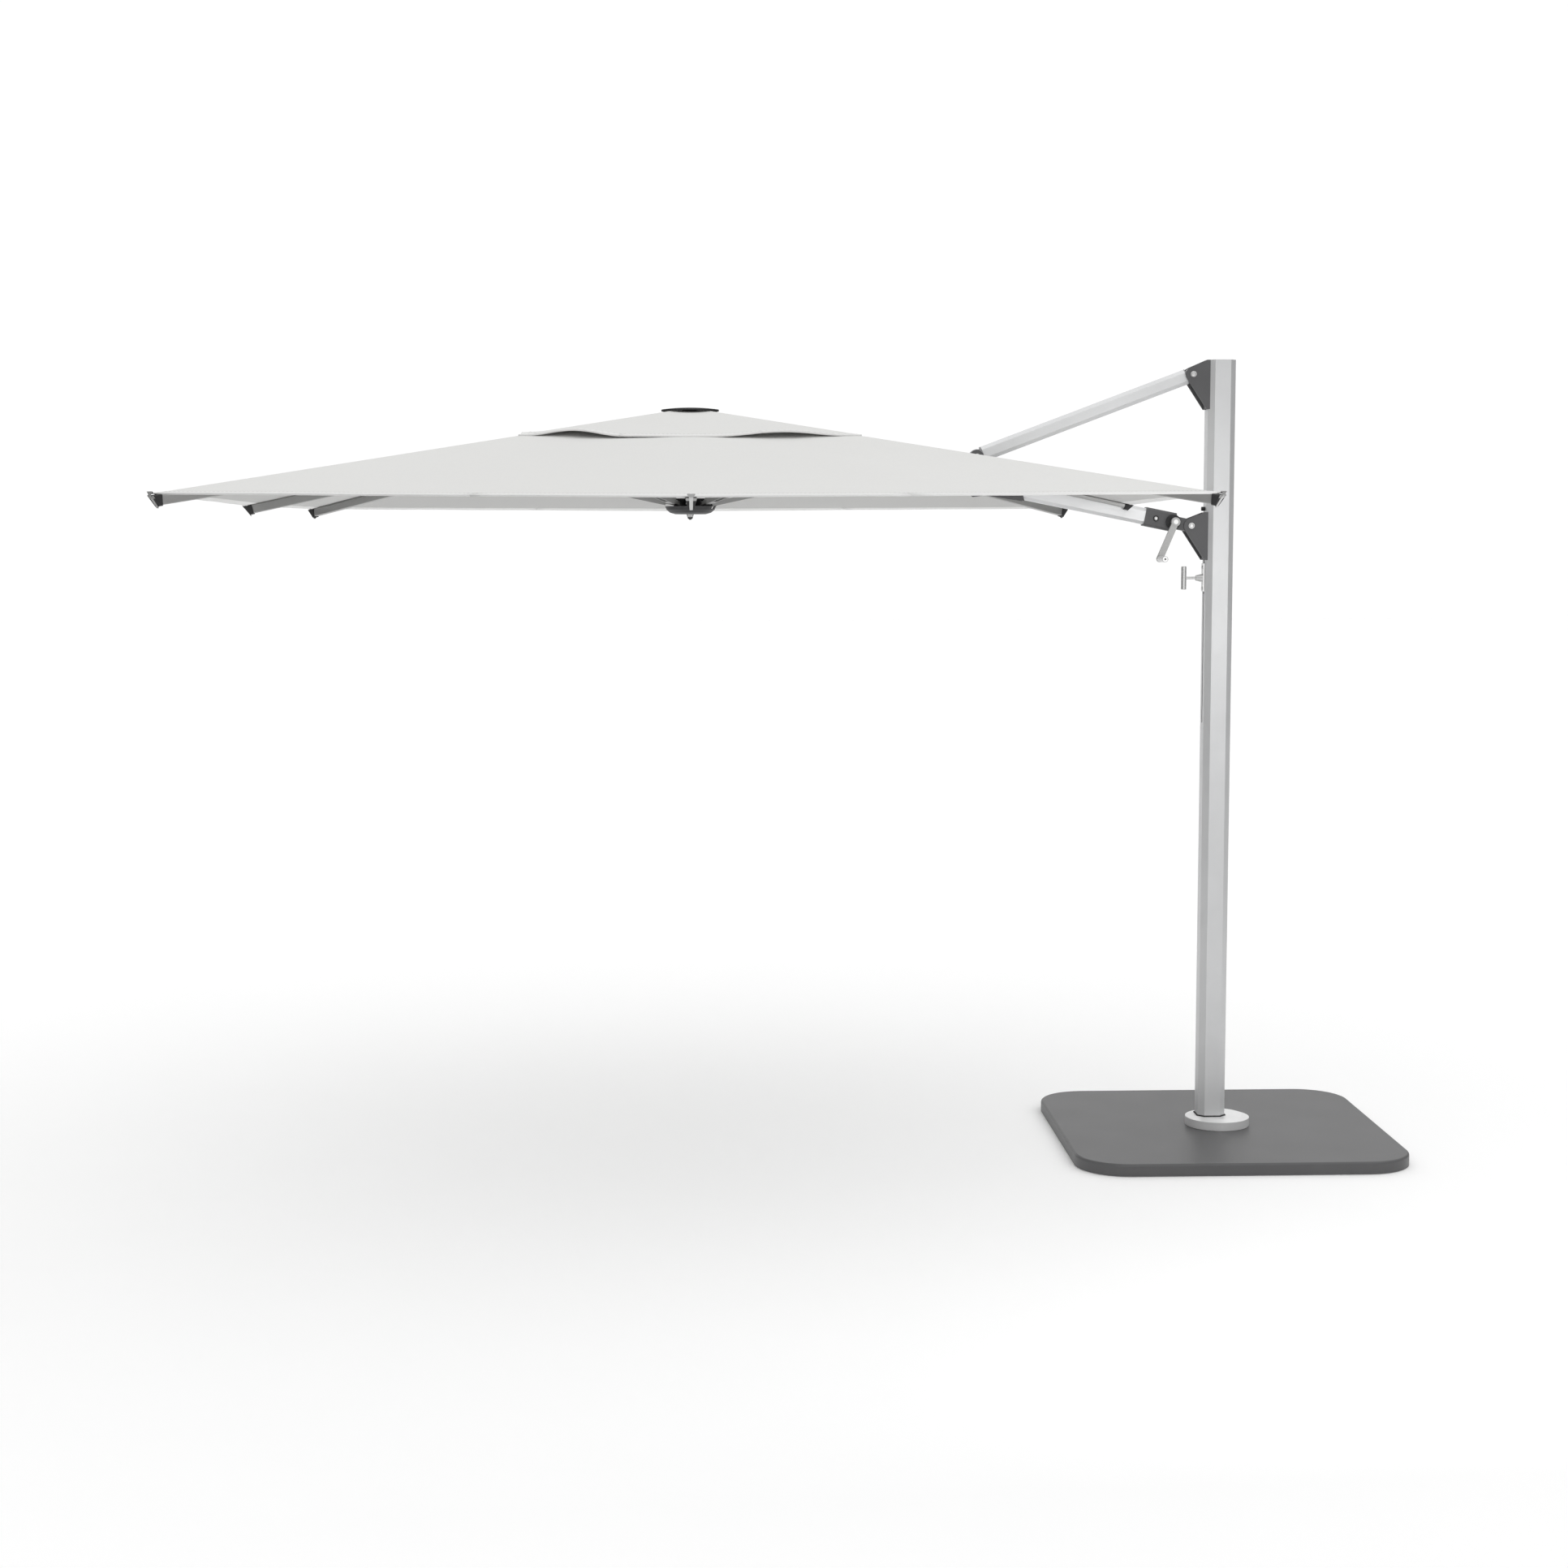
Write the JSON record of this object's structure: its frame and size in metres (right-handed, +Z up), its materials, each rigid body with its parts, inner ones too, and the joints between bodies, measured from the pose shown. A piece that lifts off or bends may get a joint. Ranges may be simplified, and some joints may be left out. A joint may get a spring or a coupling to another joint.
{
  "type": "cantilever parasol",
  "caption": "Square cantilever parasol with folding ribs, crank, sliding carriage, side mast and a swivelling slab base",
  "frame": {"origin": "centre of the base's underside, on the mast's swivel axis", "axes": "+Z up; the canopy stands toward -X; the arm lies in the plane y = 0"},
  "size_m": [3.9283, 3.0426, 2.702],
  "materials": {
    "dark_coat": "fine powder coat, satin",
    "concrete": "rough cast stone",
    "rubber": "matt",
    "steel": "brushed stainless",
    "aluminium": "satin anodised, drawn lengthwise",
    "cast_alloy": "cast, bead blasted",
    "rib_alloy": "satin anodised",
    "black_plastic": "fine moulded grain",
    "canopy_fabric": "solution-dyed woven canvas, hemmed",
    "cord": "braided polyester line"
  },
  "bodies": {
    "base": {"base_cover": "dark_coat", "ballast_slabs": "concrete", "base_feet": "rubber", "swivel_flange": "steel", "base_fasteners": "steel"},
    "mast": {"mast_collar": "aluminium", "mast_tube": "aluminium", "mast_foot_plug": "black_plastic", "mast_cap": "aluminium", "top_bracket": "dark_coat", "top_pivot_pin": "steel", "slide_bumper": "rubber"},
    "carriage": {"carriage_bracket": "dark_coat", "carriage_shoe": "black_plastic", "lower_pivot_pin": "steel", "lock_housing": "steel", "lock_spring": "steel"},
    "lock_pin": {"t_handle": "steel"},
    "strut": {"strut_tube": "aluminium", "strut_head": "cast_alloy", "strut_tail": "cast_alloy"},
    "boom": {"boom_tube": "aluminium", "boom_knuckle": "dark_coat", "knuckle_bolt": "steel", "crank_bush": "dark_coat", "strut_saddle": "dark_coat", "strut_pin": "steel", "boom_tongue": "cast_alloy", "lift_line": "cord", "slit_cover": "canopy_fabric"},
    "crank": {"crank_shaft": "steel", "crank_arm": "steel"},
    "grip": {"crank_grip": "steel"},
    "crown": {"crown_hub": "black_plastic", "crown_cap": "black_plastic", "crown_pin": "steel", "canopy_cover": "canopy_fabric", "vent_cover": "canopy_fabric", "drop_line": "cord"},
    "runner": {"runner_hub": "black_plastic", "runner_bowl": "black_plastic"},
    "line_end": {"line_end": "steel"},
    "rib_left": {"rib_left": "rib_alloy"},
    "stretcher_left": {"stretcher_left": "rib_alloy"},
    "rib_near_left": {"rib_near_left": "rib_alloy"},
    "stretcher_near_left": {"stretcher_near_left": "rib_alloy"},
    "rib_near": {"rib_near": "rib_alloy"},
    "stretcher_near": {"stretcher_near": "rib_alloy"},
    "rib_near_right": {"rib_near_right": "rib_alloy"},
    "stretcher_near_right": {"stretcher_near_right": "rib_alloy"},
    "rib_far_right": {"rib_far_right": "rib_alloy"},
    "stretcher_far_right": {"stretcher_far_right": "rib_alloy"},
    "rib_far": {"rib_far": "rib_alloy"},
    "stretcher_far": {"stretcher_far": "rib_alloy"},
    "rib_far_left": {"rib_far_left": "rib_alloy"},
    "stretcher_far_left": {"stretcher_far_left": "rib_alloy"},
    "rib_mast_near": {"rib_mast_near": "rib_alloy"},
    "stretcher_mast_near": {"stretcher_mast_near": "rib_alloy"},
    "rib_mast_far": {"rib_mast_far": "rib_alloy"},
    "stretcher_mast_far": {"stretcher_mast_far": "rib_alloy"}
  },
  "joints": [
    {"name": "mast_swivel", "type": "hinge", "parent": "base", "child": "mast", "pos_m": [0, 0, 0.06], "axis": [0, 0, 1], "continuous": true},
    {"name": "carriage_slide", "type": "slide", "parent": "mast", "child": "carriage", "axis": [0, 0, -1], "range_m": [0, 0.3]},
    {"name": "boom_pivot", "type": "hinge", "parent": "carriage", "child": "boom", "pos_m": [-0.126, 0, 2.139], "axis": [0, 1, 0], "range_deg": [0, 13.19]},
    {"name": "strut_pivot", "type": "hinge", "parent": "mast", "child": "strut", "pos_m": [-0.126, 0, 2.6535], "axis": [0, -1, 0], "range_deg": [0, 11.96]},
    {"name": "canopy_tilt", "type": "hinge", "parent": "boom", "child": "crown", "pos_m": [-1.747, 0, 2.47], "axis": [0, -1, 0], "range_deg": [0, 12.79]},
    {"name": "lock_pull", "type": "slide", "parent": "carriage", "child": "lock_pin", "axis": [-1, 0, 0], "range_m": [0, 0.012], "stiffness_N_per_m": 600, "springref_m": -0.01, "deforming": ["lock_spring"]},
    {"name": "canopy_fold", "type": "hinge", "parent": "crown", "child": "rib_left", "pos_m": [-1.892, 0, 2.50821], "axis": [0, -1, 0], "range_deg": [0, 73.99], "deforming": ["canopy_cover", "vent_cover", "drop_line"]},
    {"name": "link_left", "type": "hinge", "parent": "rib_left", "child": "stretcher_left", "pos_m": [-2.57178, 0, 2.36161], "axis": [0, -1, 0], "range_deg": [-148.48, 0]},
    {"name": "runner_level", "type": "hinge", "parent": "stretcher_left", "child": "runner", "pos_m": [-1.892, 0, 2.215], "axis": [0, -1, 0], "range_deg": [0, 74.49]},
    {"name": "fold_near_left", "type": "hinge", "parent": "crown", "child": "rib_near_left", "pos_m": [-1.87736, -0.03535, 2.50877], "axis": [0.7071, -0.7071, 0], "range_deg": [0, 78.04]},
    {"name": "link_near_left", "type": "hinge", "parent": "rib_near_left", "child": "stretcher_near_left", "pos_m": [-2.35709, -0.51509, 2.40835], "axis": [0.7071, -0.7071, 0], "range_deg": [-148.6, 0]},
    {"name": "fold_near", "type": "hinge", "parent": "crown", "child": "rib_near", "pos_m": [-1.842, -0.05, 2.50821], "axis": [1, 0, 0], "range_deg": [0, 74.29]},
    {"name": "link_near", "type": "hinge", "parent": "rib_near", "child": "stretcher_near", "pos_m": [-1.842, -0.72978, 2.36161], "axis": [1, 0, 0], "range_deg": [-148.48, 0]},
    {"name": "fold_near_right", "type": "hinge", "parent": "crown", "child": "rib_near_right", "pos_m": [-1.80665, -0.03535, 2.50877], "axis": [0.7071, 0.7071, 0], "range_deg": [0, 78.04]},
    {"name": "link_near_right", "type": "hinge", "parent": "rib_near_right", "child": "stretcher_near_right", "pos_m": [-1.32691, -0.51509, 2.40835], "axis": [0.7071, 0.7071, 0], "range_deg": [-148.6, 0]},
    {"name": "fold_far_right", "type": "hinge", "parent": "crown", "child": "rib_far_right", "pos_m": [-1.80665, 0.03535, 2.50877], "axis": [-0.7071, 0.7071, 0], "range_deg": [0, 78.04]},
    {"name": "link_far_right", "type": "hinge", "parent": "rib_far_right", "child": "stretcher_far_right", "pos_m": [-1.32691, 0.51509, 2.40835], "axis": [-0.7071, 0.7071, 0], "range_deg": [-148.6, 0]},
    {"name": "fold_far", "type": "hinge", "parent": "crown", "child": "rib_far", "pos_m": [-1.842, 0.05, 2.50821], "axis": [-1, 0, 0], "range_deg": [0, 74.29]},
    {"name": "link_far", "type": "hinge", "parent": "rib_far", "child": "stretcher_far", "pos_m": [-1.842, 0.72978, 2.36161], "axis": [-1, 0, 0], "range_deg": [-148.48, 0]},
    {"name": "fold_far_left", "type": "hinge", "parent": "crown", "child": "rib_far_left", "pos_m": [-1.87736, 0.03535, 2.50877], "axis": [-0.7071, -0.7071, 0], "range_deg": [0, 78.04]},
    {"name": "link_far_left", "type": "hinge", "parent": "rib_far_left", "child": "stretcher_far_left", "pos_m": [-2.35709, 0.51509, 2.40835], "axis": [-0.7071, -0.7071, 0], "range_deg": [-148.6, 0]},
    {"name": "fold_mast_near", "type": "hinge", "parent": "crown", "child": "rib_mast_near", "pos_m": [-1.762, -0.044, 2.50993], "axis": [0, 1, 0], "range_deg": [0, 74.29]},
    {"name": "link_mast_near", "type": "hinge", "parent": "rib_mast_near", "child": "stretcher_mast_near", "pos_m": [-1.08153, -0.044, 2.36317], "axis": [0, 1, 0], "range_deg": [-148.37, 0]},
    {"name": "fold_mast_far", "type": "hinge", "parent": "crown", "child": "rib_mast_far", "pos_m": [-1.762, 0.044, 2.50993], "axis": [0, 1, 0], "range_deg": [0, 74.29]},
    {"name": "link_mast_far", "type": "hinge", "parent": "rib_mast_far", "child": "stretcher_mast_far", "pos_m": [-1.08153, 0.044, 2.36317], "axis": [0, 1, 0], "range_deg": [-148.37, 0]},
    {"name": "line_travel", "type": "slide", "parent": "crown", "child": "line_end", "axis": [0, 0, -1], "range_m": [0, 1.105]},
    {"name": "crank_turn", "type": "hinge", "parent": "boom", "child": "crank", "pos_m": [-0.18871, 0, 2.1518], "axis": [0, -1, 0], "range_deg": [0, 3137.5]},
    {"name": "grip_spin", "type": "hinge", "parent": "crank", "child": "grip", "pos_m": [-0.24224, -0.075, 2.02569], "axis": [0, -1, 0], "continuous": true}
  ],
  "couplings": [
    {"joint": "boom_pivot", "follows": "carriage_slide", "rad_per_m": 0.74421},
    {"joint": "strut_pivot", "follows": "carriage_slide", "rad_per_m": 0.67256},
    {"joint": "link_left", "follows": "canopy_fold", "ratio": -2},
    {"joint": "runner_level", "follows": "canopy_fold", "ratio": 1},
    {"joint": "fold_near_left", "follows": "canopy_fold", "ratio": 1.0507},
    {"joint": "link_near_left", "follows": "canopy_fold", "ratio": -2.0016},
    {"joint": "fold_near", "follows": "canopy_fold", "ratio": 1},
    {"joint": "link_near", "follows": "canopy_fold", "ratio": -2},
    {"joint": "fold_near_right", "follows": "canopy_fold", "ratio": 1.0507},
    {"joint": "link_near_right", "follows": "canopy_fold", "ratio": -2.0016},
    {"joint": "fold_far_right", "follows": "canopy_fold", "ratio": 1.0507},
    {"joint": "link_far_right", "follows": "canopy_fold", "ratio": -2.0016},
    {"joint": "fold_far", "follows": "canopy_fold", "ratio": 1},
    {"joint": "link_far", "follows": "canopy_fold", "ratio": -2},
    {"joint": "fold_far_left", "follows": "canopy_fold", "ratio": 1.0507},
    {"joint": "link_far_left", "follows": "canopy_fold", "ratio": -2.0016},
    {"joint": "fold_mast_near", "follows": "canopy_fold", "ratio": 1},
    {"joint": "link_mast_near", "follows": "canopy_fold", "ratio": -1.9985},
    {"joint": "fold_mast_far", "follows": "canopy_fold", "ratio": 1},
    {"joint": "link_mast_far", "follows": "canopy_fold", "ratio": -1.9985},
    {"joint": "line_travel", "follows": "canopy_fold", "m_per_rad": 0.84754},
    {"joint": "crank_turn", "follows": "canopy_fold", "ratio": 42.377}
  ]
}
